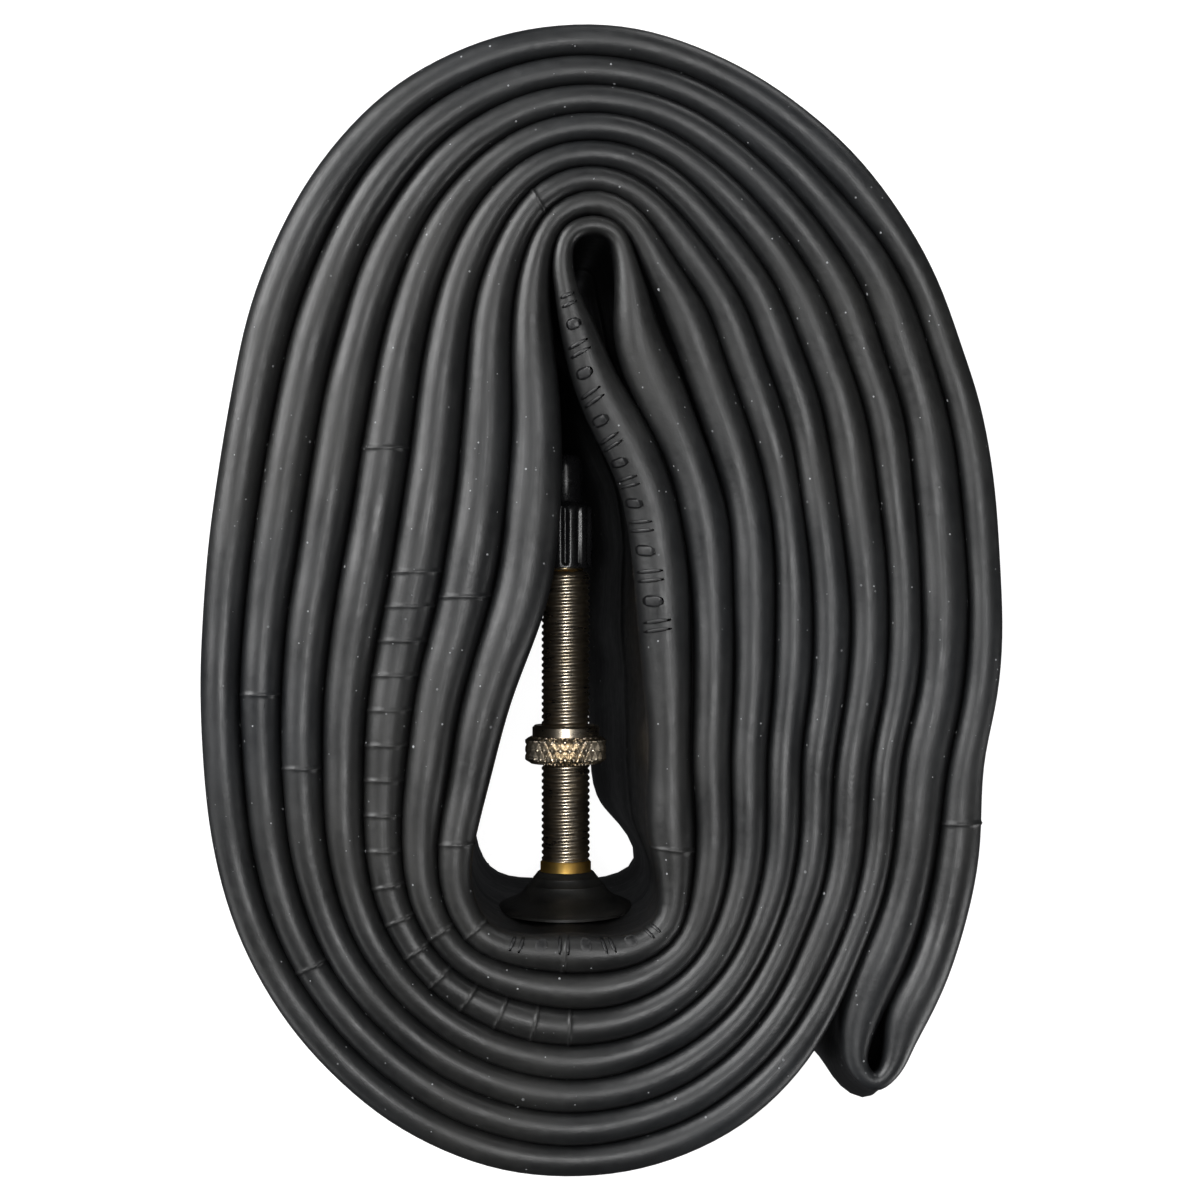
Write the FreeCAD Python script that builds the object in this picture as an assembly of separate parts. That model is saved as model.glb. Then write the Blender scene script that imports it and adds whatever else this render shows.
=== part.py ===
import FreeCAD, Part
import math
import os

# A bicycle inner tube as it is sold: pressed flat, wound into an oval coil and stood on the edges of its
# strip, with its slim valve in the middle of the coil.
# Millimetres. +Z is up, across the flattened strip. +Y is along the coil's long axis, the way the valve
# points. The origin is on the floor, under the middle of the coil. The route is laid out at the coil's upper
# edge, from which the coil leans a little to the left on its way down.

# ---- driving dimensions: the flattened tube ----
STRIP_HEIGHT = 52.0
WALL = 0.8
WEB_THICKNESS = 2.0
LAYER_GAP = 0.16
COIL_LEAN = -2.6
COIL_MIDDLE_X = -1.2
STATION_TOP_Y = 33.75
STATION_BOTTOM_Y = -27.0
STATION_TOP_X = -0.35
STATION_SIDE_X = -1.25
STATION_BOTTOM_X = -2.4

# Across the strip's height: height above the floor, and how far the section there has widened from the
# thin web (0) to the full round bead (1) along each edge.
OUTSIDE_PROFILE = [(0.0, 0.5), (1.4, 1.0), (4.2, 1.0), (8.5, 0.0)]
CAVITY_PROFILE = [(1.2, 0.6), (2.4, 1.0), (4.0, 1.0), (8.5, 0.0)]
SPAN = 8

# ---- driving dimensions: the valve ----
VALVE_X = -4.4
VALVE_Z = STRIP_HEIGHT / 2
STEM_RADIUS = 3.0
STEM_TOP_Y = 3.5
STEM_FLANGE_Y = -37.6
STEM_FLANGE_RADIUS = 4.3
STEM_LOWER_BORE_RADIUS = 1.75
STEM_UPPER_BORE_RADIUS = 2.0
STEM_BORE_STEP_Y = -13.6
PAD_SURFACE_Y = -36.2
PAD_HALF_LENGTH = 8.5
PAD_HALF_HEIGHT = 11.5
BOSS_BASE_RADIUS = 5.6
BOSS_TOP_Y = -33.2
BOSS_TOP_RADIUS = 3.5
COLLAR_TOP_Y = -32.3
COLLAR_RADIUS = 3.15

NUT_BOTTOM_Y = -20.25
NUT_RING_TOP_Y = -16.9
NUT_TOP_Y = -15.5
NUT_RING_RADIUS = 5.05
NUT_SHOULDER_RADIUS = 4.15
NUT_BORE_RADIUS = 3.06

CORE_THREAD_RADIUS = 2.6
CORE_TOP_Y = 9.0
CORE_SHANK_RADIUS = 1.95
CORE_SHANK_END_Y = -11.8
CORE_FLAT_WIDTH = 4.4
CORE_FLAT_LENGTH = 2.6
PIN_RADIUS = 0.9
PIN_BORE_RADIUS = 0.97
PIN_TIP_Y = 13.0
SEAL_RADIUS = 1.65
SEAL_THICKNESS = 0.8
PLUNGER_RADIUS = 1.4
PLUNGER_THICKNESS = 0.6
GASKET_WIDTH = 1.2
GASKET_Y = -9.6
GASKET_GROOVE_RADIUS = 1.45
LOCK_NUT_RADIUS = 2.1
LOCK_NUT_HEIGHT = 2.4

CAP_BOTTOM_Y = 3.9
CAP_SKIRT_TOP_Y = 11.8
CAP_TOP_Y = 18.1
CAP_SKIRT_RADIUS = 3.4
CAP_TIP_RADIUS = 2.1
CAP_THREAD_BORE_RADIUS = 2.66
CAP_NUT_BORE_RADIUS = 2.3
CAP_TIP_BORE_RADIUS = 1.3
CAP_THREAD_BORE_TOP_Y = 9.6
CAP_TIP_BORE_TOP_Y = 16.8

UP = FreeCAD.Vector(0, 0, 1)
ALONG_VALVE = FreeCAD.Vector(0, 1, 0)


def heading_vector(degrees):
    return FreeCAD.Vector(math.cos(math.radians(degrees)), math.sin(math.radians(degrees)), 0)


# ---- the coil's route ----
# A station is a straight cut through the coil's layers from its hollow middle outwards. The faces of a
# station are the distances from its base point to the joints between the layers, the inside one first.

def graded_faces(inner, pitch, growth):
    return [inner + pitch * n + growth * n * n for n in range(8)]


def stacked_faces(inner, thicknesses):
    faces = [inner]
    for thickness in thicknesses:
        faces.append(faces[-1] + thickness)
    return faces


def station(x, y, heading, faces, first_layer=1):
    return {"base": FreeCAD.Vector(x, y, 0), "out": heading_vector(heading), "faces": faces, "first": first_layer}


# Right side, from the bottom of the coil to its top. Layers 8 and 9 run into the outer fold, and above
# the last full station layers 1 and 2 run into the inner fold.
RIGHT = [
    station(STATION_BOTTOM_X, STATION_BOTTOM_Y, -22.5,
            stacked_faces(9.6, [4.2, 3.7, 3.5, 3.3, 3.3, 3.8, 2.7, 5.5, 4.7])),
    station(STATION_BOTTOM_X, STATION_BOTTOM_Y, -11.25,
            stacked_faces(8.7, [4.6, 3.9, 3.7, 3.5, 3.4, 3.9, 2.9, 5.3, 4.7])),
    station(STATION_BOTTOM_X, STATION_BOTTOM_Y, 0.0,
            stacked_faces(8.1, [5.1, 4.0, 3.8, 3.7, 3.5, 4.1, 3.1, 5.1, 4.7])),
    station(STATION_SIDE_X, -18.0, 0.0,
            stacked_faces(7.0, [4.7, 4.2, 4.1, 3.9, 3.7, 4.2, 3.3, 5.5, 3.9])),
    station(STATION_SIDE_X, -11.25, 0.0,
            stacked_faces(6.7, [5.1, 4.4, 4.4, 4.1, 4.0, 4.3, 3.6, 5.4, 3.8])),
    station(STATION_SIDE_X, 0.0, 0.0,
            stacked_faces(5.6, [6.0, 4.7, 4.7, 4.1, 4.2, 4.4, 3.6, 5.4, 3.7])),
    station(STATION_SIDE_X, 11.25, 0.0,
            stacked_faces(4.0, [6.0, 5.3, 5.0, 3.6, 4.0, 4.8, 3.9, 5.4, 3.7])),
    station(STATION_SIDE_X, 22.5, 0.0,
            stacked_faces(11.9, [5.2, 4.4, 4.5, 4.7, 4.2, 5.2, 3.7]), 3),
    station(STATION_SIDE_X, 28.0, 0.0,
            stacked_faces(10.0, [5.1, 4.4, 4.6, 4.7, 4.4, 5.2, 3.7]), 3),
    station(STATION_TOP_X, STATION_TOP_Y, 0.0,
            stacked_faces(6.8, [5.1, 4.4, 4.6, 4.8, 4.6, 5.2, 3.7]), 3),
]

# Over the top of the coil, from right to left.
TOP = [
    station(STATION_TOP_X, STATION_TOP_Y, 22.5, graded_faces(6.2, 3.80, 0.032)),
    station(STATION_TOP_X, STATION_TOP_Y, 45.0, graded_faces(6.7, 3.30, 0.034)),
    station(STATION_TOP_X, STATION_TOP_Y, 67.5, graded_faces(8.3, 2.90, 0.040)),
    station(STATION_TOP_X, STATION_TOP_Y, 90.0, graded_faces(9.6, 2.57, 0.068)),
    station(STATION_TOP_X, STATION_TOP_Y, 112.5, graded_faces(9.1, 2.66, 0.082)),
    station(STATION_TOP_X, STATION_TOP_Y, 135.0, graded_faces(7.2, 3.06, 0.095)),
    station(STATION_TOP_X, STATION_TOP_Y, 157.5, graded_faces(5.8, 3.44, 0.109)),
    station(STATION_TOP_X, STATION_TOP_Y, 180.0, graded_faces(5.3, 3.95, 0.121)),
]

# Down the left side.
LEFT = [
    station(STATION_SIDE_X, 22.5, 180.0, graded_faces(3.3, 5.44, -0.018)),
    station(STATION_SIDE_X, 11.25, 180.0, graded_faces(3.2, 6.20, -0.088)),
    station(STATION_SIDE_X, 0.0, 180.0, graded_faces(4.7, 6.53, -0.143)),
    station(STATION_SIDE_X, -11.25, 180.0, graded_faces(8.7, 5.72, -0.102)),
    station(STATION_SIDE_X, -20.0, 180.0, graded_faces(11.1, 4.92, -0.046)),
]

# Round the bottom, from left to right.
BOTTOM = [
    station(STATION_BOTTOM_X, STATION_BOTTOM_Y, 180.0, graded_faces(11.7, 4.12, 0.016)),
    station(STATION_BOTTOM_X, STATION_BOTTOM_Y, 202.5, graded_faces(13.1, 3.50, 0.034)),
    station(STATION_BOTTOM_X, STATION_BOTTOM_Y, 225.0, graded_faces(13.7, 3.19, 0.044)),
    station(STATION_BOTTOM_X, STATION_BOTTOM_Y, 247.5, graded_faces(11.7, 3.90, -0.018)),
    station(STATION_BOTTOM_X, STATION_BOTTOM_Y, 270.0, graded_faces(10.8, 4.27, -0.059)),
    station(STATION_BOTTOM_X, STATION_BOTTOM_Y, 292.5, graded_faces(11.7, 3.66, -0.003)),
    station(STATION_BOTTOM_X, STATION_BOTTOM_Y, 315.0, graded_faces(12.2, 3.15, 0.031)),
]

# The innermost web stands aside from its beads to leave room for the valve: side, station, distance out.
WEB_ASIDE = {
    ("left", 0): 1.5,
    ("left", 1): 1.5,
    ("left", 2): 1.5,
    ("left", 3): 0.3,
    ("bottom", 4): -0.5,
    ("right", 6): 0.8,
}

# The innermost strand leans in under the valve along its right side, its lower edge this much further to
# the left than the rest of the coil's, from the bottom of the coil to its last full station.
STRAND_LEAN = [-0.8, -2.2, -3.0, -5.0, -4.8, -4.4, -3.6]

# The two folds, in the order that the strip runs: x, y, thickness, and the heading of the strip's right
# side. The last two numbers are how far the web stands aside to that side, and how much further than the
# coil the strip leans.
INNER_FOLD = [
    (2.8, 18.6, 5.8, 25.0, 1.0, -2.8),
    (-0.2, 24.3, 5.1, 24.0, 1.2, -1.8),
    (-2.3, 30.0, 4.1, 18.0, 0.8, -0.8),
    (-4.0, 35.8, 2.5, 9.0, 0.0, 0.0),
    (-4.2, 38.8, 2.1, -4.0, 0.0, 0.0),
    (-3.4, 41.0, 2.0, -42.0, 0.0, 0.0),
    (-0.9, 42.1, 2.0, -90.0, 0.0, -1.0),
    (1.8, 41.1, 2.0, -136.0, 0.0, -2.0),
    (2.8, 38.8, 2.2, -168.0, 0.0, -2.3),
    (3.4, 35.8, 3.2, -172.0, 0.0, -2.3),
    (4.3, 30.0, 5.3, -165.0, 0.0, -1.6),
    (6.4, 24.3, 5.8, -159.0, 0.0, -0.8),
    (8.9, 18.6, 5.0, -158.0, 0.0, 0.0),
]
OUTER_FOLD = [
    (29.3, -47.0, 4.6, 165.0, 0.3, 0.0),
    (28.7, -50.2, 3.2, 177.0, 0.8, 0.0),
    (29.1, -52.6, 2.2, 210.0, 1.8, 0.0),
    (30.8, -54.0, 2.0, 270.0, 2.6, 0.0),
    (32.5, -52.7, 2.2, 325.0, 1.2, 0.0),
    (33.5, -50.2, 3.2, 342.0, 0.3, 0.0),
    (34.5, -47.0, 4.6, 338.0, 0.0, 0.0),
]


def station_point(side, number, cut, layer, turn_sense):
    """One point of the strip: its middle, the vector to its right side, and where its web stands."""
    index = layer - cut["first"]
    inner = cut["faces"][index]
    outer = cut["faces"][index + 1]
    middle = cut["base"] + cut["out"] * ((inner + outer) / 2)
    aside = WEB_ASIDE.get((side, number), 0.0) if layer == 1 else 0.0
    lean = STRAND_LEAN[number] if layer == 1 and side == "right" else 0.0
    return {"middle": middle, "right": cut["out"] * turn_sense, "half": (outer - inner - LAYER_GAP) / 2,
            "aside": cut["out"] * aside, "lean": COIL_LEAN + lean}


def fold_points(fold):
    points = []
    for x, y, thickness, heading, aside, lean in fold:
        right = heading_vector(heading)
        points.append({"middle": FreeCAD.Vector(x, y, 0), "right": right, "half": (thickness - LAYER_GAP) / 2,
                       "aside": right * aside, "lean": COIL_LEAN + lean})
    return points


def turn_points(layer, turn_sense):
    """One turn of the coil, anticlockwise, from the right side's bottom to the bottom's right end."""
    points = []
    sides = [("right", RIGHT, layer), ("top", TOP, layer - 2), ("left", LEFT, layer - 2),
             ("bottom", BOTTOM, layer - 2)]
    for side, cuts, side_layer in sides:
        for number, cut in enumerate(cuts):
            if side_layer >= cut["first"]:
                points.append(station_point(side, number, cut, side_layer, turn_sense))
    return points


def coil_points():
    """The whole closed strip: inwards round the odd layers, back through the inner fold, then outwards
    round the even layers to the outer fold."""
    inward = []
    for layer in (9, 7, 5, 3, 1):
        inward += turn_points(layer, 1)
    outward = []
    for layer in (8, 6, 4, 2):
        outward += turn_points(layer, -1)
    outward.reverse()
    return inward + fold_points(INNER_FOLD) + outward + fold_points(OUTER_FOLD)


def side_spans(points, lengths, height, fullness, inset, side):
    """One face of the strip at one height, as a closed run of smooth edges of SPAN points each. side is 1
    for right and -1 for left."""
    places = []
    for point in points:
        web_half = min(WEB_THICKNESS / 2, point["half"])
        half = web_half + (point["half"] - web_half) * fullness - inset
        lean = FreeCAD.Vector(point["lean"] * (1 - height / STRIP_HEIGHT), 0, 0)
        middle = point["middle"] + point["aside"] * (1 - fullness) + lean
        places.append(middle + point["right"] * (half * side) + UP * height)
    curve = Part.BSplineCurve()
    curve.interpolate(Points=places, PeriodicFlag=True, Parameters=lengths)
    spans = []
    for start in range(0, len(points), SPAN):
        span = curve.copy()
        span.segment(lengths[start], lengths[min(start + SPAN, len(points))])
        spans.append(span.toShape())
    return spans


def closed_tube_shell(points, lengths, levels, inset):
    """A closed ring-shaped shell through the given heights, with flat faces at its lowest and highest."""
    faces = []
    ends = [[], []]
    for side in (-1, 1):
        rings = [side_spans(points, lengths, height, fullness, inset, side) for height, fullness in levels]
        for lower, upper in zip(rings, rings[1:]):
            faces += [Part.makeRuledSurface(low, high) for low, high in zip(lower, upper)]
        ends[0].append(Part.Wire(rings[0]))
        ends[1].append(Part.Wire(rings[-1]))
    for inside, outside in ends:
        faces.append(Part.makeFace([outside, inside], "Part::FaceMakerCheese"))
    shell = Part.makeShell(faces)
    shell.sewShape()
    return shell


def full_height_levels(profile):
    return profile + [(STRIP_HEIGHT - height, fullness) for height, fullness in reversed(profile)]


def solid_from(shell):
    solid = Part.makeSolid(shell)
    if solid.Volume < 0:
        solid.reverse()
    return solid


def make_inner_tube(points, lengths):
    outside = solid_from(closed_tube_shell(points, lengths, full_height_levels(OUTSIDE_PROFILE), 0.0))
    cavity = solid_from(closed_tube_shell(points, lengths, full_height_levels(CAVITY_PROFILE), WALL))
    return outside, cavity


# ---- the valve ----

def turned(outline):
    """A turned piece about the valve's axis. The outline is a closed list of (radius, y)."""
    corners = [FreeCAD.Vector(VALVE_X + radius, y, VALVE_Z) for radius, y in outline]
    wire = Part.makePolygon(corners + [corners[0]])
    return Part.Face(wire).revolve(FreeCAD.Vector(VALVE_X, 0, VALVE_Z), ALONG_VALVE, 360)


def rod(radius, start_y, end_y):
    return Part.makeCylinder(radius, end_y - start_y, FreeCAD.Vector(VALVE_X, start_y, VALVE_Z), ALONG_VALVE)


def make_valve_stem():
    foot = STEM_FLANGE_Y
    return turned([
        (STEM_LOWER_BORE_RADIUS, foot),
        (STEM_FLANGE_RADIUS, foot),
        (STEM_FLANGE_RADIUS, foot + 0.9),
        (COLLAR_RADIUS, foot + 1.7),
        (COLLAR_RADIUS, COLLAR_TOP_Y),
        (STEM_RADIUS, COLLAR_TOP_Y),
        (STEM_RADIUS, STEM_TOP_Y - 0.4),
        (STEM_RADIUS - 0.4, STEM_TOP_Y),
        (STEM_UPPER_BORE_RADIUS, STEM_TOP_Y),
        (STEM_UPPER_BORE_RADIUS, STEM_BORE_STEP_Y),
        (STEM_LOWER_BORE_RADIUS, STEM_BORE_STEP_Y - 0.4),
    ])


def make_valve_pad(tube_outside, stem):
    """The oval rubber patch with the moulded boss that holds the stem's foot."""
    oval = Part.Ellipse(FreeCAD.Vector(0, 0, 0), PAD_HALF_HEIGHT, PAD_HALF_LENGTH).toShape()
    slab = Part.Face(Part.Wire([oval])).extrude(FreeCAD.Vector(0, 0, 5.0))
    slab.rotate(FreeCAD.Vector(0, 0, 0), FreeCAD.Vector(1, 0, 0), 90)
    slab.rotate(FreeCAD.Vector(0, 0, 0), ALONG_VALVE, 90)
    slab.translate(FreeCAD.Vector(VALVE_X, PAD_SURFACE_Y, VALVE_Z))
    boss = turned([
        (0.0, PAD_SURFACE_Y - 1.0),
        (BOSS_BASE_RADIUS, PAD_SURFACE_Y - 1.0),
        (BOSS_BASE_RADIUS, PAD_SURFACE_Y + 0.3),
        (BOSS_BASE_RADIUS - 0.5, PAD_SURFACE_Y + 1.3),
        (BOSS_BASE_RADIUS - 1.4, PAD_SURFACE_Y + 2.2),
        (BOSS_TOP_RADIUS, BOSS_TOP_Y),
        (0.0, BOSS_TOP_Y),
    ])
    pad = slab.fuse(boss).cut(tube_outside)
    pad = max(pad.Solids, key=lambda solid: solid.CenterOfMass.y)
    hollow = rod(STEM_LOWER_BORE_RADIUS, STEM_FLANGE_Y - 5.0, BOSS_TOP_Y + 1.0)
    return pad.cut(stem.fuse(hollow)).removeSplitter()


def make_rim_nut():
    return turned([
        (NUT_BORE_RADIUS, NUT_BOTTOM_Y),
        (NUT_RING_RADIUS - 0.5, NUT_BOTTOM_Y),
        (NUT_RING_RADIUS, NUT_BOTTOM_Y + 0.5),
        (NUT_RING_RADIUS, NUT_RING_TOP_Y - 0.5),
        (NUT_RING_RADIUS - 0.5, NUT_RING_TOP_Y),
        (NUT_SHOULDER_RADIUS, NUT_RING_TOP_Y),
        (NUT_SHOULDER_RADIUS, NUT_TOP_Y - 0.3),
        (NUT_SHOULDER_RADIUS - 0.3, NUT_TOP_Y),
        (NUT_BORE_RADIUS, NUT_TOP_Y),
    ])


def make_core_body():
    """The removable core: a threaded nipple with two spanner flats, and a shank down inside the stem."""
    body = turned([
        (PIN_BORE_RADIUS, CORE_SHANK_END_Y),
        (CORE_SHANK_RADIUS, CORE_SHANK_END_Y),
        (CORE_SHANK_RADIUS, GASKET_Y),
        (GASKET_GROOVE_RADIUS, GASKET_Y),
        (GASKET_GROOVE_RADIUS, GASKET_Y + GASKET_WIDTH),
        (CORE_SHANK_RADIUS, GASKET_Y + GASKET_WIDTH),
        (CORE_SHANK_RADIUS, STEM_TOP_Y),
        (CORE_THREAD_RADIUS, STEM_TOP_Y),
        (CORE_THREAD_RADIUS, CORE_TOP_Y - 0.3),
        (CORE_THREAD_RADIUS - 0.3, CORE_TOP_Y),
        (PIN_BORE_RADIUS, CORE_TOP_Y),
    ])
    for side in (-1, 1):
        flat = Part.makeBox(6.0, CORE_FLAT_LENGTH, 2.0)
        low_z = VALVE_Z + CORE_FLAT_WIDTH / 2 if side > 0 else VALVE_Z - CORE_FLAT_WIDTH / 2 - 2.0
        flat.translate(FreeCAD.Vector(VALVE_X - 3.0, CORE_TOP_Y - CORE_FLAT_LENGTH - 0.9, low_z))
        body = body.cut(flat)
    return body


def make_core_gasket():
    ring = rod(STEM_UPPER_BORE_RADIUS - 0.01, GASKET_Y, GASKET_Y + GASKET_WIDTH)
    return ring.cut(rod(GASKET_GROOVE_RADIUS, GASKET_Y - 1.0, GASKET_Y + GASKET_WIDTH + 1.0))


def make_core_pin():
    seal_bottom = CORE_SHANK_END_Y - SEAL_THICKNESS
    plunger = rod(PLUNGER_RADIUS, seal_bottom - PLUNGER_THICKNESS, seal_bottom)
    return plunger.fuse(rod(PIN_RADIUS, seal_bottom - PLUNGER_THICKNESS, PIN_TIP_Y)).removeSplitter()


def make_core_plunger_seal():
    seal = rod(SEAL_RADIUS, CORE_SHANK_END_Y - SEAL_THICKNESS, CORE_SHANK_END_Y)
    return seal.cut(rod(PIN_RADIUS, CORE_SHANK_END_Y - 2.0, CORE_SHANK_END_Y + 1.0))


def make_core_lock_nut():
    top = CORE_TOP_Y + LOCK_NUT_HEIGHT
    return turned([
        (PIN_BORE_RADIUS, CORE_TOP_Y),
        (LOCK_NUT_RADIUS - 0.3, CORE_TOP_Y),
        (LOCK_NUT_RADIUS, CORE_TOP_Y + 0.3),
        (LOCK_NUT_RADIUS, top - 0.4),
        (LOCK_NUT_RADIUS - 0.4, top),
        (PIN_BORE_RADIUS, top),
    ])


def make_dust_cap():
    return turned([
        (CAP_THREAD_BORE_RADIUS, CAP_BOTTOM_Y),
        (CAP_SKIRT_RADIUS, CAP_BOTTOM_Y),
        (CAP_SKIRT_RADIUS, CAP_SKIRT_TOP_Y - 0.5),
        (CAP_SKIRT_RADIUS - 0.5, CAP_SKIRT_TOP_Y),
        (CAP_TIP_RADIUS, CAP_SKIRT_TOP_Y + 0.6),
        (CAP_TIP_RADIUS, CAP_TOP_Y - 0.7),
        (CAP_TIP_RADIUS - 0.7, CAP_TOP_Y),
        (0.0, CAP_TOP_Y),
        (0.0, CAP_TIP_BORE_TOP_Y),
        (CAP_TIP_BORE_RADIUS, CAP_TIP_BORE_TOP_Y),
        (CAP_TIP_BORE_RADIUS, CAP_SKIRT_TOP_Y),
        (CAP_NUT_BORE_RADIUS, CAP_SKIRT_TOP_Y),
        (CAP_NUT_BORE_RADIUS, CAP_THREAD_BORE_TOP_Y),
        (CAP_THREAD_BORE_RADIUS, CAP_THREAD_BORE_TOP_Y),
    ])


def build():
    points = coil_points()
    lengths = [0.0]
    for here, after in zip(points, points[1:] + points[:1]):
        lengths.append(lengths[-1] + (after["middle"] - here["middle"]).Length)
    outside, cavity = make_inner_tube(points, lengths)
    stem = make_valve_stem()
    air_hole = rod(STEM_LOWER_BORE_RADIUS, STEM_FLANGE_Y - 2.4, STEM_FLANGE_Y)
    nodes = {
        "inner_tube": outside.cut(cavity.fuse(air_hole)),
        "valve_pad": make_valve_pad(outside, stem),
        "valve_stem": stem,
        "rim_nut": make_rim_nut(),
        "core_body": make_core_body(),
        "core_gasket": make_core_gasket(),
        "core_pin": make_core_pin(),
        "core_plunger_seal": make_core_plunger_seal(),
        "core_lock_nut": make_core_lock_nut(),
        "dust_cap": make_dust_cap(),
    }
    os.makedirs("parts", exist_ok=True)
    for name, shape in nodes.items():
        shape.translate(FreeCAD.Vector(-COIL_MIDDLE_X, 0, 0))
        shape.exportStep("parts/%s.step" % name)
        box = shape.optimalBoundingBox()
        print("%-18s solids %d valid %s volume %9.1f  x %6.1f..%6.1f  y %6.1f..%6.1f  z %5.1f..%5.1f" % (
            name, len(shape.Solids), shape.isValid(), shape.Volume,
            box.XMin, box.XMax, box.YMin, box.YMax, box.ZMin, box.ZMax))
    print("strip length %.0f mm" % lengths[-1])


build()
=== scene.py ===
import math
import random

import bmesh
import bpy
import numpy as np
from mathutils import Matrix, Vector


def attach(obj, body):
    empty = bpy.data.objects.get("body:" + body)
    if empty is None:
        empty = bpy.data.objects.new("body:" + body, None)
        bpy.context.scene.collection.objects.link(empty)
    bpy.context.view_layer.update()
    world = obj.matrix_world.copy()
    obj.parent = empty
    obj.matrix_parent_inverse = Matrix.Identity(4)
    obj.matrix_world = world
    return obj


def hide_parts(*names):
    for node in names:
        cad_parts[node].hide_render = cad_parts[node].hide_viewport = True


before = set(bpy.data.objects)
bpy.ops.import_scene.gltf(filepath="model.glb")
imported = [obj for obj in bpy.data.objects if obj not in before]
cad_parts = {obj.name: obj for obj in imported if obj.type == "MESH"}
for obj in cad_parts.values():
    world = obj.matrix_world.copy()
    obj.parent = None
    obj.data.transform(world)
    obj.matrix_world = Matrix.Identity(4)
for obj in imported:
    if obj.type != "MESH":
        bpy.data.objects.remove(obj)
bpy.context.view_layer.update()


# ---- the inner tube ----
# One endless tube of black butyl rubber, pressed flat so that its edges stand up as two round beads with a
# thin web between them, and wound by hand into an oval coil. The strip runs inwards round the odd layers,
# folds back in the middle of the coil, and runs out again round the even layers to a fold outside.
MM = 0.001  # distances are in millimetres, and the model is in metres
STRIP_HEIGHT = 52.0
WEB_HALF = 1.0
LAYER_PRESS = 0.12
COIL_LEAN = -2.6
COIL_MIDDLE = Vector((-1.2, 0.0))
TOP_X, TOP_Y = -0.35, 33.75
SIDE_X = -1.25
BOTTOM_X, BOTTOM_Y = -2.4, -27.0


def stacked_faces(inner, thicknesses):
    """Distances from a cut's base to the joints between its layers, from each layer's thickness."""
    return list(np.cumsum([inner] + thicknesses))


def graded_faces(inner, pitch, growth):
    """The same distances for seven layers that thicken or thin evenly outwards."""
    return [inner + pitch * n + growth * n * n for n in range(8)]


# Straight cuts through the layers: base x, base y, heading, faces, the first layer, and then for the
# innermost strand only, how far its web stands aside and how much further its lower edge leans in.
RIGHT_CUTS = [
    (BOTTOM_X, BOTTOM_Y, -22.5,
     stacked_faces(9.6, [4.2, 3.7, 3.5, 3.3, 3.3, 3.8, 2.7, 5.5, 4.7]), 1, 0, -1.4),
    (BOTTOM_X, BOTTOM_Y, -11.25,
     stacked_faces(8.7, [4.6, 3.9, 3.7, 3.5, 3.4, 3.9, 2.9, 5.3, 4.7]), 1, 0, -2.9),
    (BOTTOM_X, BOTTOM_Y, 0, stacked_faces(8.1, [5.1, 4.0, 3.8, 3.7, 3.5, 4.1, 3.1, 5.1, 4.7]), 1, 0, -3.7),
    (SIDE_X, -18.0, 0, stacked_faces(7.0, [4.7, 4.2, 4.1, 3.9, 3.7, 4.2, 3.3, 5.5, 3.9]), 1, 0, -5.0),
    (SIDE_X, -11.25, 0, stacked_faces(6.7, [5.1, 4.4, 4.4, 4.1, 4.0, 4.3, 3.6, 5.4, 3.8]), 1, 0, -5.3),
    (SIDE_X, 0.0, 0, stacked_faces(5.6, [6.0, 4.7, 4.7, 4.1, 4.2, 4.4, 3.6, 5.4, 3.7]), 1, 0, -4.9),
    (SIDE_X, 11.25, 0, stacked_faces(4.0, [6.0, 5.3, 5.0, 3.6, 4.0, 4.8, 3.9, 5.4, 3.7]), 1, 0.8, -3.6),
    (SIDE_X, 22.5, 0, stacked_faces(11.9, [5.2, 4.4, 4.5, 4.7, 4.2, 5.2, 3.7]), 3, 0, 0),
    (SIDE_X, 28.0, 0, stacked_faces(10.0, [5.1, 4.4, 4.6, 4.7, 4.4, 5.2, 3.7]), 3, 0, 0),
    (TOP_X, TOP_Y, 0, stacked_faces(6.8, [5.1, 4.4, 4.6, 4.8, 4.6, 5.2, 3.7]), 3, 0, 0),
]
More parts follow.
